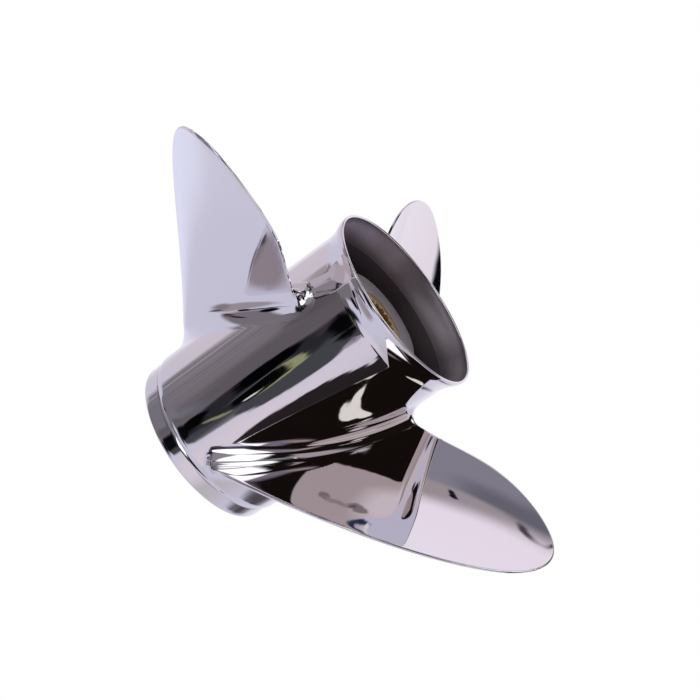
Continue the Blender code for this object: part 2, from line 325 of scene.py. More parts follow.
@dataclass(frozen=True)
class MouldedRubber:
    """Black nitrile rubber, moulded round the sleeve and pressed into the hub.

    It gives the eye a matt charcoal with a dusty bloom.
    """

    name: str = Finish.RUBBER.value
    colour: str = "#1b1a1b"
    bloom: str = "#2c2b2c"
    roughness: float = 0.78
    bloom_size: float = 6.0 * MM
    # The skin of a moulding is a fraction of this size and too fine to show, so it is drawn coarser.
    skin_size: float = 0.8 * MM
    skin_depth: float = 0.05 * MM

    def material(self) -> Material:
        """Build the rubber: clouds of bloom and a fine moulded skin.

        Returns:
            The material.
        """
        material, tree, shader = new_material(self.name, {"Roughness": self.roughness})
        place = add_node(tree, "TexCoord", {}, {}).outputs["Object"]
        tone = add_clouds(tree, place, self.bloom_size, (self.colour, self.bloom), detail=5.0)
        tree.links.new(tone, shader.inputs["Base Color"])
        skin = add_relief(tree, place, self.skin_size, self.skin_depth, detail=2.0)
        tree.links.new(skin, shader.inputs["Normal"])
        return material


def grid_quads(rows: int, columns: int, close_rows: bool = False) -> np.ndarray:
    """Faces of a grid of points whose columns run round a closed ring.

    Args:
        rows: number of rings.
        columns: number of points in a ring.
        close_rows: join the last ring to the first.

    Returns:
        Four point numbers a face.
    """
    last = rows if close_rows else rows - 1
    row, column = np.meshgrid(np.arange(last), np.arange(columns), indexing="ij")
    below, above = row * columns, (row + 1) % rows * columns
    after = (column + 1) % columns
    quads = np.stack([below + column, below + after, above + after, above + column], axis=-1)
    return quads.reshape(-1, 4)


def dress(
    name: str,
    points: np.ndarray,
    faces: list,
    slots: list[Material],
    finish_of_face: np.ndarray | None = None,
) -> Piece:
    """Make a smooth-shaded piece that rides on the part's body.

    Args:
        name: the piece's name.
        points: its points, one row each.
        faces: its faces as lists of point numbers.
        slots: its materials.
        finish_of_face: for each face, which of the materials it shows.

    Returns:
        The new object.
    """
    mesh = bpy.data.meshes.new(name)
    mesh.from_pydata([tuple(point) for point in points.tolist()], [], faces)
    for material in slots:
        mesh.materials.append(material)
    if finish_of_face is not None:
        mesh.polygons.foreach_set("material_index", finish_of_face.astype(np.int32))
    mesh.shade_smooth()
    mesh.set_sharp_from_angle(angle=SHARP_ANGLE)
    mesh.update()
    piece = bpy.data.objects.new(name, mesh)
    bpy.context.scene.collection.objects.link(piece)
    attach(piece, BODY)
    LOG.info("%s: %d faces", name, len(mesh.polygons))
    return piece


def revolve(
    name: str,
    outline: list[Point],
    steps: int,
    slots: list[Material],
    finish_of_edge: list[int] | None = None,
) -> Piece:
    """Turn a closed outline about the shaft axis.

    Args:
        name: the piece's name.
        outline: (radius, height) points that run up the outer side and down the inner one.
        steps: facets round the axis.
        slots: the piece's materials.
        finish_of_edge: for each outline edge, which of the materials its band shows.

    Returns:
        The new object.
    """
    section = np.array(outline)
    angles = math.tau * np.arange(steps) / steps
    ring = np.stack([np.cos(angles), np.sin(angles)], axis=-1)
    flat = section[:, None, :1] * ring[None]
    height = np.repeat(section[:, None, 1:], steps, axis=1)
    points = np.concatenate([flat, height], axis=-1).reshape(-1, 3)
    faces = grid_quads(len(section), steps, close_rows=True)
    finish = None if finish_of_edge is None else np.repeat(np.array(finish_of_edge), steps)
    return dress(name, points, faces.tolist(), slots, finish)


def arc(centre: Point, radius: float, start: float, end: float, steps: int) -> list[Point]:
    """Points of an arc in the (radius, height) plane.

    Args:
        centre: the arc's centre.
        radius: the arc's radius.
        start: first angle in degrees, from the radial direction towards +Z.
        end: last angle in degrees.
        steps: number of chords.

    Returns:
        The arc's points, both ends included.
    """
    angles = np.radians(np.linspace(start, end, steps + 1))
    return [(centre[0] + radius * math.cos(a), centre[1] + radius * math.sin(a)) for a in angles]


@dataclass
class HubCasting:
    """Front collar, barrel and exhaust flare: one turned skin, buffed outside, with painted shade deeper
    in.
    """

    finishes: Finishes
    collar_radius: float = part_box("front_collar")[1].x
    collar_length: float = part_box("front_collar")[1].z
    collar_bore: float = 54.0 * MM
    front_round: float = 1.4 * MM
    step_height: float = 0.3 * MM
    groove_depth: float = 0.15 * MM
    groove_lead: float = 0.35 * MM
    groove_half_width: float = 0.1 * MM
    bore_bevel: float = 0.3 * MM
    throat_bevel: float = 0.4 * MM
    shoulder_length: float = 4.5 * MM
    barrel_radius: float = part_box("hub_barrel")[1].x
    waist_radius: float = 58.9 * MM
    barrel_bore: float = 55.4 * MM
    flare_start: float = 152.0 * MM
    flare_radius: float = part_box("exhaust_flare")[1].x
    length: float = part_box("exhaust_flare")[1].z
    flare_turn: float = 0.72
    wall_root: float = 2.9 * MM
    wall_lip: float = 1.9 * MM
    lip_height: float = 0.9 * MM
    throat_drop: float = 1.2 * MM
    inner_edge: float = 0.6 * MM
    steps: int = 320
    front_steps: int = 8
    collar_rows: tuple[float, ...] = (0.35, 0.6, 0.8)
    shoulder_start: float = 84.0
    shoulder_points: int = 12
    barrel_points: int = 26
    flare_points: int = 36
    lip_points: int = 13
    throat_rows: tuple[float, ...] = (0.8, 0.6, 0.4, 0.2)

    def shoulder_top(self) -> float:
        """Height at which the rounded shoulder reaches the barrel."""
        return self.collar_length + self.shoulder_length

    def taper(self, height: np.ndarray) -> np.ndarray:
        """Barrel radius at each height, without the shoulder's rounding or the flare."""
        share = np.clip((height - self.shoulder_top()) / (self.flare_start - self.shoulder_top()), 0.0, 1.0)
        return self.barrel_radius + (self.waist_radius - self.barrel_radius) * share

    def surface(self, height: np.ndarray) -> np.ndarray:
        """Outer radius of the casting behind the collar, shoulder included.

        Args:
            height: heights above the front end.

        Returns:
            The radius at each height.
        """
        rise = np.clip((self.shoulder_top() - height) / self.shoulder_length, 0.0, 1.0)
        depth = self.barrel_radius - self.collar_radius - self.step_height
        return self.taper(height) - depth * (1.0 - np.sqrt(1.0 - rise**2))

    def flare_rise(self, share: np.ndarray) -> np.ndarray:
        """How far the flare has opened: hollow up to the turn, then rounded over.

        Args:
            share: how far along the flare, from 0 to 1.

        Returns:
            The share of its opening that it has reached, from 0 to 1.
        """
        hollow = share**2 / self.flare_turn
        rounded = 1.0 - (1.0 - share) ** 2 / (1.0 - self.flare_turn)
        return np.where(share < self.flare_turn, hollow, rounded)

    def outline(self) -> tuple[list[Point], list[int]]:
        """Section of the casting.

        Returns:
            The closed outline, up the outer side and down the inner one, and each edge's finish:
            0 is buffed, 1 is the flare's ground inside and 2 is the darker colour of painted shade.
        """
        reach, step = self.collar_radius, self.collar_length
        front = [(self.collar_bore + self.inner_edge, 0.0)]
        corner = (reach - self.front_round, self.front_round)
        front += arc(corner, self.front_round, -90.0, 0.0, self.front_steps)
        collar = [(reach, step * share) for share in self.collar_rows]
        groove = reach - self.groove_depth
        collar += [(reach, step - self.groove_lead), (groove, step - self.groove_half_width)]
        collar += [(groove, step + self.groove_half_width)]
        swing = np.radians(np.linspace(self.shoulder_start, 0.0, self.shoulder_points))
        shoulder = step + self.shoulder_length * (1.0 - np.sin(swing))
        barrel = np.linspace(self.shoulder_top(), self.flare_start, self.barrel_points)[1:-1]
        heights = np.concatenate([shoulder, barrel])
        outer = list(zip(self.surface(heights).tolist(), heights.tolist()))
        share = np.linspace(0.0, 1.0, self.flare_points)
        radius = self.waist_radius + (self.flare_radius - self.waist_radius) * self.flare_rise(share)
        height = self.flare_start + (self.length - self.lip_height - self.flare_start) * share
        wall = self.wall_root + (self.wall_lip - self.wall_root) * share
        flare = list(zip(radius.tolist(), height.tolist()))
        swing = np.radians(np.linspace(0.0, 180.0, self.lip_points)[1:-1])
        middle = self.flare_radius - self.wall_lip / 2
        lip = [
            (middle + self.wall_lip / 2 * math.cos(a), height[-1] + self.lip_height * math.sin(a))
            for a in swing
        ]
        inside = list(zip((radius - wall).tolist(), height.tolist()))[::-1]
        bore = self.barrel_bore
        throat = [(bore, self.flare_start - self.throat_drop)]
        throat += [(bore, self.flare_start * row) for row in self.throat_rows]
        throat += [(bore, step + self.throat_bevel), (bore - self.throat_bevel, step)]
        throat += [(self.collar_bore + self.bore_bevel, step), (self.collar_bore, step - self.bore_bevel)]
        throat += [(self.collar_bore, self.inner_edge)]
        points = front + collar + outer + flare + lip + inside + throat
        # The bore and front face get a darker finish that paints the shade of the deep recess.
        buffed, ground, painted_shade = range(3)
        skin = len(front + collar + outer + flare + lip)
        finish = [painted_shade] + [buffed] * (skin - 1) + [ground] * (len(inside) - 1)
        finish += [painted_shade] * (len(points) - len(finish))
        return points, finish

    def build(self) -> Piece:
        """Turn the casting and let it stand for the three turned nodes.

        Returns:
            The casting.
        """
        outline, finish = self.outline()
        slots = [self.finishes[name] for name in (Finish.HUB_MIRROR, Finish.FLARE, Finish.DEPTH)]
        piece = revolve("hub_casting", outline, self.steps, slots, finish)
        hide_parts("front_collar", "hub_barrel", "exhaust_flare")
        return piece


@dataclass
class Blades:
    """Three skewed, raked and cupped blades, each a loft of sections on cylinders round the shaft."""

    finishes: Finishes
    hub: HubCasting
    diameter: float = 14.75 * INCH
    # The outline of the blades in the photograph asks for a little more than a round 21 in.
    pitch: float = 21.0 * INCH * PITCH_FIT
    count: int = 3
    root_line_radius: float = 51.7 * MM
    root_line_height: float = 64.8 * MM
    stations: tuple[float, ...] = (0.0, 0.22, 0.45, 0.66, 0.84, 1.0)
    half_chords: tuple[float, ...] = (67.5 * MM, 66.8 * MM, 76.4 * MM, 72.2 * MM, 72.5 * MM, 67.9 * MM)
    chord_degree: int = 4
    tip_fullness: float = 3.15
    skew: tuple[float, ...] = (31.4 * MM, 65.4 * MM, -6.7 * MM)
    rake: float = 57.3 * MM
    nose_droop: float = 0.0424
    cup: float = 0.0544
    leading_trim: float = 10.5 * MM
    trim_reach: float = 20.0 * MM
    root_thickness: float = 8.6 * MM
    tip_thickness: float = 3.0 * MM
    edge_thickness: float = 2.1 * MM
    edge_round: float = 1.3 * MM
    thinning_power: float = 1.5
    aft_share: float = 0.36
    nose_fullness: float = 0.6
    tip_flattening: float = 8.0
    front_limit: float = 13.0 * MM
    front_blend: float = 1.2 * MM
    follow_reach: float = 20.0 * MM
    side_fillet: float = 11.5 * MM
    leading_fillet: float = 6.0 * MM
    trailing_fillet: float = 12.0 * MM
    apron: float = 1.0 * MM
    root_depth: float = 1.2 * MM
    foot_sink: float = 0.01 * MM
    last_share: float = 0.9995
    points: int = 240
    edge_crowding: float = 0.6
    edge_line_density: int = 5
    fillet_rings: int = 18
    blade_rings: int = 96
    cap_rows: int = 8
    chord_curve: np.polynomial.Polynomial = field(init=False)

    def __post_init__(self) -> None:
        """Fit the half-chord curve through its stations."""
        self.chord_curve = np.polynomial.Polynomial.fit(self.stations, self.half_chords, self.chord_degree)

    def station(self, lift: float) -> float:
        """Station at a height above the waist radius, from 0 at the root line to 1 at the tip."""
        span = self.diameter / 2 - self.root_line_radius
        return (self.hub.waist_radius + lift - self.root_line_radius) / span

    def half_chord(self, lift: float) -> float:
        """Half the blade's width along the helix at a height above the waist radius."""
        station = min(self.station(lift), 1.0)
        return float(self.chord_curve(station)) * math.sqrt(max(1.0 - station**self.tip_fullness, 0.0))

    def trim(self, lift: float) -> float:
        """How much the leading edge is cut back near the barrel."""
        return self.leading_trim * max(1.0 - max(lift, 0.0) / self.trim_reach, 0.0) ** 2

    def skew_at(self, station: float) -> float:
        """Shift of the section's middle along the helix."""
        return sum(term * station ** (power + 1) for power, term in enumerate(self.skew))

    def edge_line(self) -> np.ndarray:
        """Unroll the blade's outline.

        Returns:
            Its points, as path along the helix and height above the waist radius.
        """
        lifts = self.ring_lifts()
        rows = np.linspace(0, len(lifts) - 1, self.edge_line_density * len(lifts))
        fine = np.interp(rows, np.arange(len(lifts)), lifts)
        leading, trailing = [], []
        for lift in fine:
            half, middle = self.half_chord(lift), self.skew_at(self.station(lift))
            leading.append((middle - half + self.trim(lift), lift))
            trailing.append((middle + half, lift))
        tip = (self.skew_at(1.0), self.diameter / 2 - self.hub.waist_radius)
        return np.array(leading + [tip] + trailing[::-1])

    def ring_lifts(self) -> np.ndarray:
        """Space the rings: by angle in the fillet, then closer and closer up to the tip.

        Returns:
            Their heights above the waist radius.
        """
        reach = self.diameter / 2 - self.hub.waist_radius - self.side_fillet
        fillet = self.side_fillet * (1.0 - np.cos(np.linspace(0.0, math.pi / 2, self.fillet_rings)))
        share = np.sin(np.linspace(0.0, math.pi / 2, self.blade_rings)[1:])
        share[-1] = self.last_share
        return np.concatenate([fillet, self.side_fillet + reach * share])

    def fillet_width(self, lift: float, size: np.ndarray) -> np.ndarray:
        """Width of a round root fillet of each size at a height above the barrel."""
        depth = np.clip(lift / size, 0.0, 1.0)
        return size * (1.0 - np.sqrt(2.0 * depth - depth**2))

    def widen(
        self,
        along: np.ndarray,
        across: np.ndarray,
        end_width: np.ndarray | float,
        side_width: np.ndarray | float,
    ) -> tuple[np.ndarray, np.ndarray]:
        """Move an outline's points outwards.

        Args:
            along: place of each point along the helix.
            across: place of each point across the helix.
            end_width: how far out a point moves along the helix at the outline's ends.
            side_width: how far out a point moves across the helix at the outline's sides.

        Returns:
            The new places along and across the helix.
        """
        run = np.roll(along, -1) - np.roll(along, 1)
        climb = np.roll(across, -1) - np.roll(across, 1)
        length = np.hypot(run, climb)
        return along + end_width * climb / length, across - side_width * run / length

    def section(self, lift: float, edge: np.ndarray) -> tuple[np.ndarray, np.ndarray, float]:
        """Outline of the blade's section at one height.

        Args:
            lift: height above the waist radius.
            edge: the blade's unrolled outline, from which the edges are rounded.

        Returns:
            Each point's place along and across the helix, and the half chord.
        """
        station = min(self.station(lift), 1.0)
        half = self.half_chord(lift)
        thinning = (1.0 - station) ** self.thinning_power
        thickness = self.tip_thickness + (self.root_thickness - self.tip_thickness) * thinning
        turn = math.tau * np.arange(self.points) / self.points
        turn = turn - self.edge_crowding * np.sin(2.0 * turn) / 2.0
        share = np.cos(turn)
        along = np.where(share < 0.0, half - self.trim(lift), half) * share
        here = np.stack([self.skew_at(station) + along, np.full_like(along, max(lift, 0.0))], axis=-1)
        away = np.sqrt(((here[:, None] - edge[None]) ** 2).sum(-1)).min(axis=1)
        depth = np.clip(away / self.edge_round, 0.0, 1.0)
        rounding = self.edge_thickness / 2 * np.sqrt(1.0 - (1.0 - depth) ** 2)
        bulge = (1.0 - share**2) ** np.where(share < 0.0, self.nose_fullness, 1.0)
        body = (thickness - self.edge_thickness) * bulge * (1.0 - station**self.tip_flattening)
        aft, forward = self.aft_share, 1.0 - self.aft_share
        across = np.where(np.sin(turn) > 0.0, rounding + aft * body, -rounding - forward * body)
        across[[0, self.points // 2]] = 0.0
        size = np.where(share < 0.0, self.leading_fillet, self.trailing_fillet)
        end_width = self.fillet_width(lift, size)
        side_width = self.fillet_width(lift, np.full_like(size, self.side_fillet))
        return *self.widen(along, across, end_width, side_width), half

    def place(self, lift: float, along: np.ndarray, across: np.ndarray, half: float) -> np.ndarray:
        """Wrap a section's points round the shaft.

        Args:
            lift: height above the waist radius, below zero inside the barrel's wall.
            along: place of each point along the helix from mid-chord.
            across: place of each point across the helix, aft side positive.
            half: half chord of the section.

        Returns:
            World points of the first blade.
        """
        outside = max(lift, 0.0)
        station = self.station(outside)
        radius = self.hub.waist_radius + outside
        helix = math.atan(self.pitch / (math.tau * radius))
        share = along / half
        cup = half * self.cup * np.clip(share, 0.0, None) ** 2
        droop = half * self.nose_droop * np.clip(-share, 0.0, None) ** 2 * (1.0 - station)
        path = self.skew_at(station) + along
        turn = FIRST_BLADE_ANGLE + (path * math.cos(helix) - across * math.sin(helix)) / radius
        height = self.root_line_height + path * math.sin(helix) + across * math.cos(helix)
        height = height + self.rake * station + cup - droop
        over = (height - self.front_limit) / self.front_blend
        height = self.front_limit + self.front_blend * np.logaddexp(0.0, over)
        follow = min(max(1.0 - outside / self.follow_reach, 0.0), 1.0)
        real_radius = radius + follow * (self.hub.surface(height) - self.hub.waist_radius) + min(lift, 0.0)
        return np.stack([real_radius * np.cos(turn), real_radius * np.sin(turn), height], axis=-1)

    def mesh_points(self) -> tuple[np.ndarray, list]:
        """One closed blade.

        Returns:
            Its points and faces: hidden foot, fillet, blade and tip, then the gridded foot cap.
        """
        edge = self.edge_line()
        foot_along, foot_across, foot_half = self.section(0.0, edge)
        wide_along, wide_across = self.widen(foot_along, foot_across, self.apron, self.apron)
        rings = [
            self.place(-self.root_depth, wide_along, wide_across, foot_half),
            self.place(-self.foot_sink, wide_along, wide_across, foot_half),
        ]
        for lift in self.ring_lifts():
            along, across, half = self.section(lift, edge)
            rings.append(self.place(lift, along, across, half))
        middle = np.zeros(1)
        tip = self.place(self.diameter / 2 - self.hub.waist_radius, middle, middle, 1.0)
        points = [np.concatenate(rings), tip]
        faces = grid_quads(len(rings), self.points).tolist()
        tip_number, last = len(rings) * self.points, (len(rings) - 1) * self.points
        faces += [[last + i, last + (i + 1) % self.points, tip_number] for i in range(self.points)]
        cap, cap_faces = self.foot_cap(wide_along, wide_across, foot_half, tip_number + 1)
        return np.concatenate(points + [cap]), faces + cap_faces

    def foot_cap(
        self, along: np.ndarray, across: np.ndarray, half: float, first: int
    ) -> tuple[np.ndarray, list]:
        """Rows of faces that close the blade's foot inside the barrel's wall.

        Args:
            along: place of the foot ring's points along the helix.
            across: place of the foot ring's points across the helix.
            half: half chord of the foot.
            first: number that the first new point gets.

        Returns:
            The new points and the faces.
        """
        middle, shares = self.points // 2, np.linspace(0.0, 1.0, self.cap_rows + 1)[1:-1]
        new, rows = [], [[0] * (self.cap_rows + 1)]
        for i in range(1, middle):
            j = self.points - i
            between_along = along[i] + (along[j] - along[i]) * shares
            between_across = across[i] + (across[j] - across[i]) * shares
            start = first + len(new) * len(shares)
            new.append(self.place(-self.root_depth, between_along, between_across, half))
            rows.append([i] + list(range(start, start + len(shares))) + [j])
        rows.append([middle] * (self.cap_rows + 1))
        faces = []
        for above, below in zip(rows, rows[1:]):
            for k in range(self.cap_rows):
                faces.append(list(dict.fromkeys([above[k], above[k + 1], below[k + 1], below[k]])))
        return np.concatenate(new), faces

    def build(self) -> list[Piece]:
        """Loft one blade and set it out round the hub, each standing for its node.

        Returns:
            The blades.
        """
        points, faces = self.mesh_points()
        slots = [self.finishes[Finish.BLADE_MIRROR]]
        pieces = []
        for number in range(self.count):
            turn = np.array(Matrix.Rotation(math.tau * number / self.count, 3, "Z"))
            piece = dress(f"polished_blade_{number + 1}", points @ turn.T, faces, slots)
            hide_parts(f"blade_{number + 1}")
            pieces.append(piece)
        return pieces


@dataclass
class HubCore:
    """Inner hub with its ribs, and the pressed-in kit: rubber bushing and splined brass sleeve."""

    finishes: Finishes
    hub: HubCasting
    tube_front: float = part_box("inner_hub")[0].z
    tube_aft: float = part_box("inner_hub")[1].z
    tube_radius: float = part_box("inner_hub")[1].x
    tube_bore: float = 29.5 * MM
    end_wall: float = 6.0 * MM
    edge: float = 0.7 * MM
    corner_steps: int = 5
    tube_rows: tuple[float, ...] = (0.25, 0.5, 0.75)
    bushing_clearance: float = 0.2 * MM
    bushing_rim: float = 1.2 * MM
    sleeve_radius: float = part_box("spline_sleeve")[1].x
    sleeve_front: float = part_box("spline_sleeve")[0].z
    sleeve_chamfer: float = 0.9 * MM
    chamfer_crown: float = 0.13
    clearance: float = 0.15 * MM
    teeth: int = 15
    root_radius: float = 13.5 * MM
    tip_radius: float = 11.4 * MM
    tooth_points: int = 20
    tooth_squareness: float = 1.6
    bore_chamfer: float = 0.5 * MM
    mouth_share: float = 0.3
    spline_row: float = 6.0 * MM
    rib_count: int = 3
    rib_thickness: float = 5.0 * MM
    rib_front: float = 28.0 * MM
    rib_aft: float = 125.0 * MM
    rib_fillet: float = 3.5 * MM
    rib_fillet_points: int = 7
    rib_round: float = 1.6 * MM
    rib_round_points: int = 5
    rib_overlap: float = 0.4 * MM
    steps: int = 192

    def build_tube(self) -> Piece:
        """Turn the inner hub: a tube whose end wall holds the sleeve's aft end.

        Returns:
            The inner hub.
        """
        wall, length = self.tube_aft - self.end_wall, self.tube_aft - self.tube_front
        hole, side = self.sleeve_radius + self.clearance, self.tube_radius - self.edge
        outline = [(self.tube_bore + self.edge, self.tube_front)]
        outline += arc((side, self.tube_front + self.edge), self.edge, -90.0, 0.0, self.corner_steps)
        outline += [(self.tube_radius, self.tube_front + length * row) for row in self.tube_rows]
        outline += arc((side, self.tube_aft - self.edge), self.edge, 0.0, 90.0, self.corner_steps)
        outline += [((self.tube_radius + hole) / 2, self.tube_aft)]
        outline += [(hole + self.edge / 2, self.tube_aft), (hole, self.tube_aft - self.edge / 2)]
        outline += [(hole, wall), (self.tube_bore, wall), (self.tube_bore, self.tube_front + self.edge)]
        piece = revolve("inner_hub_casting", outline, self.steps, [self.finishes[Finish.CAST]])
        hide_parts("inner_hub")
        return piece

    def build_bushing(self) -> Piece:
        """Turn the rubber bushing: a thick ring with rounded rims, moulded round the sleeve.

        Returns:
            The bushing.
        """
        low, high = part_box("rubber_bushing")
        inner, outer, rim = self.sleeve_radius + self.bushing_clearance, high.x, self.bushing_rim
        outline = arc((inner + rim, low.z + rim), rim, -180.0, -90.0, self.corner_steps)
        outline += arc((outer - rim, low.z + rim), rim, -90.0, 0.0, self.corner_steps)
        outline += [(outer, high.z), (inner, high.z)]
        piece = revolve("rubber_bushing_ring", outline, self.steps, [self.finishes[Finish.RUBBER]])
        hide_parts("rubber_bushing")
        return piece

    def spline(self, turn: np.ndarray) -> np.ndarray:
        """Shape the broached bore: round-bottomed grooves between flat teeth.

        Args:
            turn: angles round the shaft.

        Returns:
            The bore's radius at each angle.
        """
        wave = np.cos(self.teeth * turn)
        square = np.tanh(self.tooth_squareness * wave) / math.tanh(self.tooth_squareness)
        middle, swing = (self.root_radius + self.tip_radius) / 2, (self.root_radius - self.tip_radius) / 2
        return middle + swing * square

    def build_sleeve(self) -> Piece:
        """Turn the brass sleeve and broach the grooves in its bore.

        Returns:
            The sleeve.
        """
        count = self.teeth * self.tooth_points
        turn = math.tau * np.arange(count) / count
        outer = np.full(count, self.sleeve_radius)
        bore = self.spline(turn)
        front, aft = self.sleeve_front, self.tube_aft
        mouth = np.maximum(bore + self.bore_chamfer * self.mouth_share, self.tip_radius + self.bore_chamfer)
        loops = [
            (mouth, front), (outer - self.sleeve_chamfer, front), (outer, front + self.sleeve_chamfer),
            (outer, (front + aft) / 2), (outer, aft - self.sleeve_chamfer),
            (outer - self.sleeve_chamfer / 2, aft - self.sleeve_chamfer * self.chamfer_crown),
            (outer - self.sleeve_chamfer, aft), (mouth, aft),
            (bore, aft - self.bore_chamfer), (bore, aft - self.spline_row), (bore, (front + aft) / 2),
            (bore, front + self.bore_chamfer),
        ]
        cos, sin = np.cos(turn), np.sin(turn)
        rings = [np.stack([r * cos, r * sin, np.full(count, z)], axis=-1) for r, z in loops]
        faces = grid_quads(len(rings), count, close_rows=True)
        slots = [self.finishes[Finish.BRASS]]
        piece = dress("brass_sleeve", np.concatenate(rings), faces.tolist(), slots)
        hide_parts("spline_sleeve")
        return piece

    def rib_side(self) -> list[Point]:
        """Draw half of a rib's plan, with a fillet at each end.

        Returns:
            Its points, from the inner hub to the barrel.
        """
        inner, outer = self.tube_radius - self.rib_overlap, self.hub.barrel_bore + self.rib_overlap
        half, bend = self.rib_thickness / 2, self.rib_fillet
        swing = np.linspace(0.0, math.pi / 2, self.rib_fillet_points)
        steps = [(bend * (1.0 - math.cos(a)), half + bend * (1.0 - math.sin(a))) for a in swing]
        return [(inner + x, y) for x, y in steps] + [(outer - x, y) for x, y in steps[::-1]]

    def build_ribs(self) -> list[Piece]:
        """Cast the webs, midway between the blades, with rounded front and aft edges.

        Returns:
            The ribs.
        """
        side = self.rib_side()
        plan = side + [(x, -y) for x, y in side[::-1]]
        size, bend = len(plan), self.rib_round
        swing = np.linspace(-math.pi / 2, 0.0, self.rib_round_points)
        low = [(self.rib_front + bend * (1 + math.sin(a)), bend * (1 - math.cos(a))) for a in swing]
        high = [(self.rib_front + self.rib_aft - z, inset) for z, inset in low[::-1]]
        rings = [
            [(x, y - math.copysign(min(inset, abs(y)), y), height) for x, y in plan]
            for height, inset in low + high
        ]
        faces = grid_quads(len(rings), size).tolist()
        top = (len(rings) - 1) * size
        for k in range(size // 2 - 1):
            faces.append([k + 1, k, size - 1 - k, size - 2 - k])
            faces.append([top + k, top + k + 1, top + size - 2 - k, top + size - 1 - k])
        pieces = []
        for number in range(self.rib_count):
            angle = FIRST_BLADE_ANGLE + math.tau * (number + 0.5) / self.rib_count
            points = np.array(rings).reshape(-1, 3) @ np.array(Matrix.Rotation(angle, 3, "Z")).T
            piece = dress(f"cast_rib_{number + 1}", points, faces, [self.finishes[Finish.CAST]])
            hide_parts(f"rib_{number + 1}")
            pieces.append(piece)
        return pieces

    def build(self) -> list[Piece]:
        """Make every piece inside the barrel."""
        return [self.build_tube(), self.build_bushing(), self.build_sleeve(), *self.build_ribs()]


class Outline(Enum):
    """How a panel's outline looks from the part."""

    BOX = "box"
    OVAL = "oval"
    DISC = "disc"


@dataclass(frozen=True)
class Panel:
    """A softbox, flag, wall or table far from the part, painted on the surroundings.

    Directions are degrees: azimuth from +X towards +Y, and elevation above the floor. Sizes are the
    half angles that the panel covers, and a disc has its whole radius in half_width.
    """

    tone: str
    azimuth: float
    elevation: float
    half_width: float
    half_height: float = 0.0
    roll: float = 0.0
    softness: float = 1.0
    outline: Outline = Outline.OVAL
    strength: float = 1.0

    def axes(self) -> tuple[Vector, Vector, Vector]:
        """Work out where the panel is and how it is turned.

        Returns:
            Directions to the panel's middle, its right and its top.
        """
        azimuth, elevation, roll = (math.radians(a) for a in (self.azimuth, self.elevation, self.roll))
        level = Vector((math.cos(azimuth), math.sin(azimuth), 0.0)) * math.cos(elevation)
        ahead = level + Vector((0.0, 0.0, math.sin(elevation)))
        side = Vector((-math.sin(azimuth), math.cos(azimuth), 0.0))
        rise = ahead.cross(side)
        right = side * math.cos(roll) + rise * math.sin(roll)
        return ahead, right, rise * math.cos(roll) - side * math.sin(roll)

    def light(self) -> Colour:
        """Linear colour that the panel shows, past 1 for a lamp."""
        red, green, blue, alpha = linear(self.tone)
        return (red * self.strength, green * self.strength, blue * self.strength, alpha)


BOX, DISC = Outline.BOX, Outline.DISC

# The groups are painted in the order in which Studio lists them, and each panel lies over those before it.
ROOM_BEHIND_CAMERA = (
    Panel("#7d777d", -142, -28, 32, 22, softness=4, outline=BOX),
    Panel("#645f64", -118, -20, 12, 12, softness=7),
    Panel("#45474d", -84, -24, 17, 22, softness=1.5, outline=BOX),
    Panel("#454858", -66, -14, 8, 6, softness=1.5, outline=BOX),
)
CEILING = (
    Panel("#ffffff", 0, 90, 20, 20, softness=10, strength=1.2, outline=BOX),
    Panel("#8a8794", 178, 56, 28, 14, softness=4, outline=BOX),
    Panel("#6c6b76", 161, 54.5, 10, 3.5, softness=2),
    Panel("#a39a9e", 159, 45.5, 12, 7.6, softness=1.2),
    Panel("#a89ea2", -128, 41.5, 16, 5.5, softness=2, outline=BOX),
    Panel("#847b88", -80, 15, 10, 12, softness=6, outline=BOX),
    Panel("#a5958f", -70, 25, 10, 2.4, softness=1.5),
)
SOFTBOXES = (
    Panel("#8e9096", -125, 3, 26, 11, softness=3, outline=BOX),
    Panel("#ffffff", -129, 21, 26, 7.5, softness=2, strength=1.6, outline=BOX),
    Panel("#ffffff", -87, 2, 10, 15, roll=30, softness=2, strength=1.6, outline=BOX),
    Panel("#1d1416", -114, 32, 8, 2.4, roll=-38, softness=1),
    Panel("#17120f", -87, 31, 15, 3.4, roll=48, softness=1.2, outline=BOX),
    Panel("#eceadf", -73.8, 41, 2.3, 0.65, roll=30, softness=0.1, strength=1.2),
    Panel("#eceadf", -70.9, 42.7, 1.8, 1.1, roll=20, softness=0.1, strength=1.2),
    Panel("#eceadf", -71.5, 41.5, 1, 0.6, roll=30, softness=0.1, strength=1.2),
    Panel("#d6d2d0", -55, 37, 5.5, 1.7, roll=-15, softness=0.8),
    Panel("#f3e9f4", 142, 38, 16, 15, roll=-40, softness=5, strength=1.05),
    Panel("#4d4651", 153.6, 51.9, 2.4, 0.35, roll=25, softness=0.2),
    Panel("#1a141e", 168, 48.2, 2.1, 0.5, roll=20, softness=0.2),
    Panel("#1a141e", 166, 47.7, 0.8, 0.6, softness=0.2),
    Panel("#b9adac", -20, 26, 32, 13, roll=14, softness=0.3),
    Panel("#e6dbdd", 4, 31, 16, 7.5, softness=5),
    Panel("#857a7c", -34, 19.3, 3.6, 1.1, roll=8, softness=0.3),
    Panel("#978c8f", -24, 21.4, 9, 0.7, roll=13, softness=0.3),
    Panel("#8d8184", -9, 25, 8, 1.3, roll=8, softness=0.3),
    Panel("#6f6368", -13, 24, 2.4, 0.6, roll=20, softness=0.2),
)
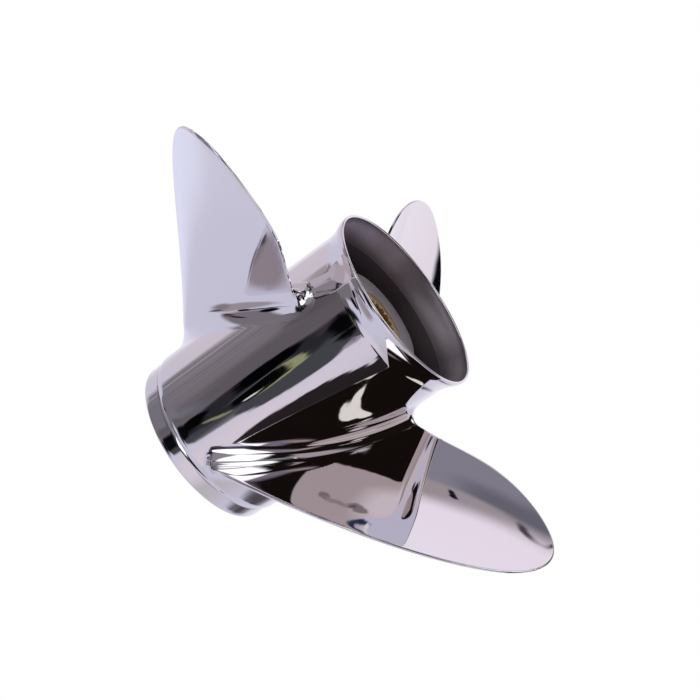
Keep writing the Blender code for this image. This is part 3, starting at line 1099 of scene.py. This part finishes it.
TABLE = (
    Panel("#d5d3e5", 53.5, -54.5, 90, softness=0.7, outline=DISC),
    Panel("#dbd2d8", -7, 12, 21, 8, roll=13, softness=0.8, outline=BOX),
    Panel("#f5ecf5", 78, 30, 16, 12.5, outline=BOX),
    Panel("#fbf7ff", 100, -2, 36, softness=26, outline=DISC),
    Panel("#c6c1c6", -20, -34, 20, softness=18, outline=DISC),
    Panel("#0a0a13", 73, 48.6, 16, 9.6, roll=-27, softness=0.6, outline=BOX),
    Panel("#d8d0d9", 164, -20, 24, 6, softness=2.5, outline=BOX),
    Panel("#c5bcc0", 162, 1, 22, 17, softness=2.5, outline=BOX),
    Panel("#9a9598", -168, 12, 10, 12, softness=3, outline=BOX),
    Panel("#cdc6cd", 161, 19, 15, 9, softness=3, outline=BOX),
    Panel("#3a3036", -9, -0.5, 3.6, 2.6, softness=1.2),
    Panel("#2f3950", 2, 22.2, 9, 0.9, roll=15, softness=0.4),
    Panel("#f2f0ee", 10.5, 23.6, 1.8, 0.7, softness=0.4, outline=BOX),
)
SHADE_ON_TABLE = (
    Panel("#e4dbe5", -54, -27, 17, 9, softness=7),
    Panel("#e8eaff", 126, -42, 6, 9, softness=5),
    Panel("#7d777d", -142, -42, 18, 15, softness=4, outline=BOX),
    Panel("#a1989f", -128, -68.8, 20, 8.5, softness=2.5),
    Panel("#8b828a", -169, -71, 6, 7.5, softness=3),
    Panel("#544d52", -177, -63.4, 4.5, 2, softness=1.2),
    Panel("#857e85", -163, -25, 12, 4, softness=5, outline=BOX),
    Panel("#a9a2a9", -167, -24.5, 0.8, 4, softness=0.6, outline=BOX),
    Panel("#968f96", -159, -24.5, 0.5, 4, softness=0.4, outline=BOX),
    Panel("#6f686e", -152, -24.5, 0.5, 4, softness=0.4, outline=BOX),
    Panel("#8b848a", -144, -24.5, 0.4, 3, softness=0.4, outline=BOX),
    Panel("#6a6369", -128, -22.5, 0.4, 3, softness=0.3, outline=BOX),
    Panel("#aca2a6", -171, -18.6, 6, 1, softness=0.5),
    Panel("#5f565d", -137, -19.6, 12, 1.2, softness=0.5),
    Panel("#7b7b86", -138, -27.4, 20, 1.1, softness=0.6),
    Panel("#47484e", -77, -21.6, 12, 2.3, softness=0.2),
    Panel("#2a2b30", -97, -23, 12, 3.6, softness=0.5),
    Panel("#050506", -104, -22.1, 6.2, 1.5, roll=3, softness=0.2),
    Panel("#060608", -87, -18.3, 20, 1.5, softness=0.3, outline=BOX),
    Panel("#979a76", -89.4, -22.1, 7.2, 1.15, roll=-3, softness=0.15),
    Panel("#050506", -90.8, -22.6, 7.4, 1.2, roll=-3, softness=0.15),
    Panel("#d9dbd6", -86, -23.2, 1, 0.3, softness=0.1),
    Panel("#4b4d52", -97, -22.4, 2.2, 0.6, roll=-40, softness=0.15),
    Panel("#8b8d72", -89.6, -24.8, 4.4, 0.3, roll=7, softness=0.1),
    Panel("#050506", -101.5, -25.7, 5.4, 0.8, softness=0.15),
    Panel("#060608", -99, -28, 8.5, 2.2, softness=0.5),
    Panel("#1b1b1f", -95, -33.5, 9, 5, roll=-12, softness=3),
    Panel("#0d0a0f", -116, -56, 15, 1.1, roll=16, softness=0.3),
    Panel("#08060a", -133, -58.6, 4.5, 2.2, roll=14, softness=0.4),
    Panel("#08060a", -113, -49.5, 7, 3.6, roll=-8, softness=0.8),
    Panel("#0a060b", -152, -46.7, 6.3, 1.5, roll=32, softness=0.5),
    Panel("#474144", -160, -53.5, 5, 2.5, roll=20, softness=1.5),
    Panel("#282324", -32, -21.2, 20.5, 2.2, roll=9, softness=0.12),
    Panel("#554e56", 40, -25.5, 24, 2.4, softness=2),
)


@dataclass
class Studio:
    """Pale floor, soft light, the surroundings that the polished steel mirrors, and the camera."""

    floor_radius: float = 6.0
    floor_sides: int = 96
    room: str = "#17110f"
    panels: tuple[Panel, ...] = ROOM_BEHIND_CAMERA + CEILING + SOFTBOXES + TABLE + SHADE_ON_TABLE
    waver: float = math.radians(2.6)
    waver_length: float = math.radians(8.0)
    waver_detail: float = 3.0
    least_facing: float = 0.001
    place: tuple[float, float, float] = (0.28711, -0.96819, 0.48658)
    aim: tuple[float, float, float] = (0.00554, 0.00161, 0.11922)
    roll: float = 54.806
    lens: float = 87.299
    clip: tuple[float, float] = (0.05, 50.0)

    def add_camera(self) -> None:
        """Stand the camera where the photograph was taken from."""
        data = bpy.data.cameras.new("photo_camera")
        data.lens = self.lens
        data.clip_start, data.clip_end = self.clip
        camera = bpy.data.objects.new("photo_camera", data)
        bpy.context.scene.collection.objects.link(camera)
        look = (Vector(self.aim) - Vector(self.place)).to_track_quat("-Z", "Y").to_matrix()
        tilted = look @ Matrix.Rotation(math.radians(self.roll), 3, "Z")
        camera.matrix_world = Matrix.Translation(self.place) @ tilted.to_4x4()
        bpy.context.scene.camera = camera

    def add_floor(self) -> None:
        """Lay the pale floor on which the part stands. The steel mirrors the surroundings instead."""
        turn = math.tau * np.arange(self.floor_sides) / self.floor_sides
        points = np.stack([np.cos(turn), np.sin(turn), 0.0 * turn], axis=-1) * self.floor_radius
        mesh = bpy.data.meshes.new("floor")
        mesh.from_pydata(points.tolist(), [], [list(range(self.floor_sides))])
        material = new_material("white_floor", {
            "Base Color": linear("#000000"), "Specular IOR Level": 0.0,
            "Emission Color": linear("#ffffff"), "Emission Strength": 1.0,
        })[0]
        mesh.materials.append(material)
        floor = bpy.data.objects.new("floor", mesh)
        bpy.context.scene.collection.objects.link(floor)
        floor.visible_glossy = False

    def add_surroundings(self) -> None:
        """Paint the room by direction: an even tone, then each panel over it, with wavering edges."""
        world = bpy.data.worlds.new("studio")
        bpy.context.scene.world = world
        world.use_nodes = True
        tree = world.node_tree
        tree.nodes.clear()
        straight = add_node(tree, "TexCoord", {}, {}).outputs["Generated"]
        drift = add_node(tree, "TexNoise", {}, {
            "Vector": straight, "Scale": 1.0 / self.waver_length, "Detail": self.waver_detail,
        }).outputs["Color"]
        shift = add_node(tree, "VectorMath", {"operation": "SUBTRACT"}, {
            0: drift, 1: (NOISE_MIDDLE,) * 3,
        }).outputs[0]
        direction = add_node(tree, "VectorMath", {"operation": "MULTIPLY_ADD"}, {
            0: shift, 1: (self.waver,) * 3, 2: straight,
        }).outputs[0]
        tone = linear(self.room)
        for panel in self.panels:
            cover = self.cover(tree, direction, panel)
            tone = add_node(tree, "Mix", {"data_type": "RGBA"}, {
                "Factor": cover, 6: tone, 7: panel.light(),
            }).outputs[2]
        seen = add_node(tree, "LightPath", {}, {}).outputs["Is Camera Ray"]
        backdrop = add_node(tree, "Mix", {"data_type": "RGBA"}, {
            "Factor": seen, 6: tone, 7: linear("#ffffff"),
        })
        light = add_node(tree, "Background", {}, {"Color": backdrop.outputs[2], "Strength": 1.0})
        add_node(tree, "OutputWorld", {}, {"Surface": light.outputs[0]})
        LOG.info("surroundings: %d panels", len(self.panels))

    def cover(self, tree: Tree, direction: Socket, panel: Panel) -> Socket:
        """Work out where a panel covers the surroundings.

        Args:
            tree: the world's node tree.
            direction: the direction looked in.
            panel: the panel.

        Returns:
            How much of the panel shows, from 0 to 1.
        """
        ahead, right, top = panel.axes()
        facing = self.along(tree, direction, ahead)
        soft = math.radians(panel.softness)
        if panel.outline is Outline.DISC:
            reach = math.radians(panel.half_width)
            angle = add_node(tree, "Math", {"operation": "ARCCOSINE"}, {0: facing}).outputs[0]
            return self.within(tree, angle, reach, soft)
        ahead_only = add_node(tree, "Math", {"operation": "MAXIMUM"}, {0: facing, 1: self.least_facing})
        depth = ahead_only.outputs[0]
        width, height = (math.tan(math.radians(a)) for a in (panel.half_width, panel.half_height))
        across = self.slope(tree, self.along(tree, direction, right), depth)
        upward = self.slope(tree, self.along(tree, direction, top), depth)
        if panel.outline is Outline.OVAL:
            place = add_node(tree, "CombineXYZ", {}, {0: across, 1: upward})
            share = add_node(tree, "VectorMath", {"operation": "DIVIDE"}, {
                0: place.outputs[0], 1: (width, height, 1.0),
            })
            length = add_node(tree, "VectorMath", {"operation": "LENGTH"}, {0: share.outputs[0]})
            return self.within(tree, length.outputs["Value"], 1.0, soft / min(width, height))
        sides = self.within(tree, across, width, soft)
        ends = self.within(tree, upward, height, soft)
        return add_node(tree, "Math", {"operation": "MULTIPLY"}, {0: sides, 1: ends}).outputs[0]

    def along(self, tree: Tree, direction: Socket, axis: Vector) -> Socket:
        """Length of the direction along an axis."""
        node = add_node(tree, "VectorMath", {"operation": "DOT_PRODUCT"}, {0: direction, 1: axis})
        return node.outputs["Value"]

    def slope(self, tree: Tree, offset: Socket, depth: Socket) -> Socket:
        """Distance from a panel's middle line, as a tangent."""
        ratio = add_node(tree, "Math", {"operation": "DIVIDE"}, {0: offset, 1: depth})
        return add_node(tree, "Math", {"operation": "ABSOLUTE"}, {0: ratio.outputs[0]}).outputs[0]

    def within(self, tree: Tree, value: Socket, reach: float, soft: float) -> Socket:
        """Fall from 1 to 0 where a value passes its reach."""
        return add_node(tree, "MapRange", {"interpolation_type": "SMOOTHSTEP"}, {
            "Value": value, "From Min": reach + soft, "From Max": reach - soft,
        }).outputs[0]

    def build(self) -> None:
        """Set up the floor, the surroundings and the camera."""
        self.add_floor()
        self.add_surroundings()
        self.add_camera()
        bpy.context.scene.view_settings.view_transform = "Standard"


def main() -> None:
    """Build the studio, then the propeller from its casting inwards."""
    logging.basicConfig(level=logging.INFO, format="%(name)s: %(message)s")
    # The barrel is buffed along its length, which draws its swells out along the shaft.
    hub_mirror = PolishedStainless(
        name=Finish.HUB_MIRROR.value, swell_length=22.0 * MM, swell_depth=0.3 * MM,
        swell_stretch=0.3, ripple_depth=0.006 * MM,
    )
    flare = BlastedStainless(
        name=Finish.FLARE.value, colour="#aea4ab", dark="#776f77", metallic=0.75, roughness=0.46,
        grain_depth=0.01 * MM, cloud_size=26.0 * MM, pit_share=0.05,
    )
    # A darker copy of the cast steel for the bore and front face: painted shade of the deep recess.
    depth = BlastedStainless(
        name=Finish.DEPTH.value, colour="#5a5156", dark="#453e42", metallic=0.5, roughness=0.55,
    )
    finishes = {
        Finish.HUB_MIRROR: hub_mirror.material(),
        Finish.BLADE_MIRROR: PolishedStainless().material(),
        Finish.FLARE: flare.material(),
        Finish.DEPTH: depth.material(),
        Finish.CAST: BlastedStainless().material(),
        Finish.BRASS: TurnedBrass().material(),
        Finish.RUBBER: MouldedRubber().material(),
    }
    Studio().build()
    hub = HubCasting(finishes)
    pieces = [hub.build(), *Blades(finishes, hub).build(), *HubCore(finishes, hub).build()]
    LOG.info("%d pieces", len(pieces))


if __name__ == "__main__":
    main()
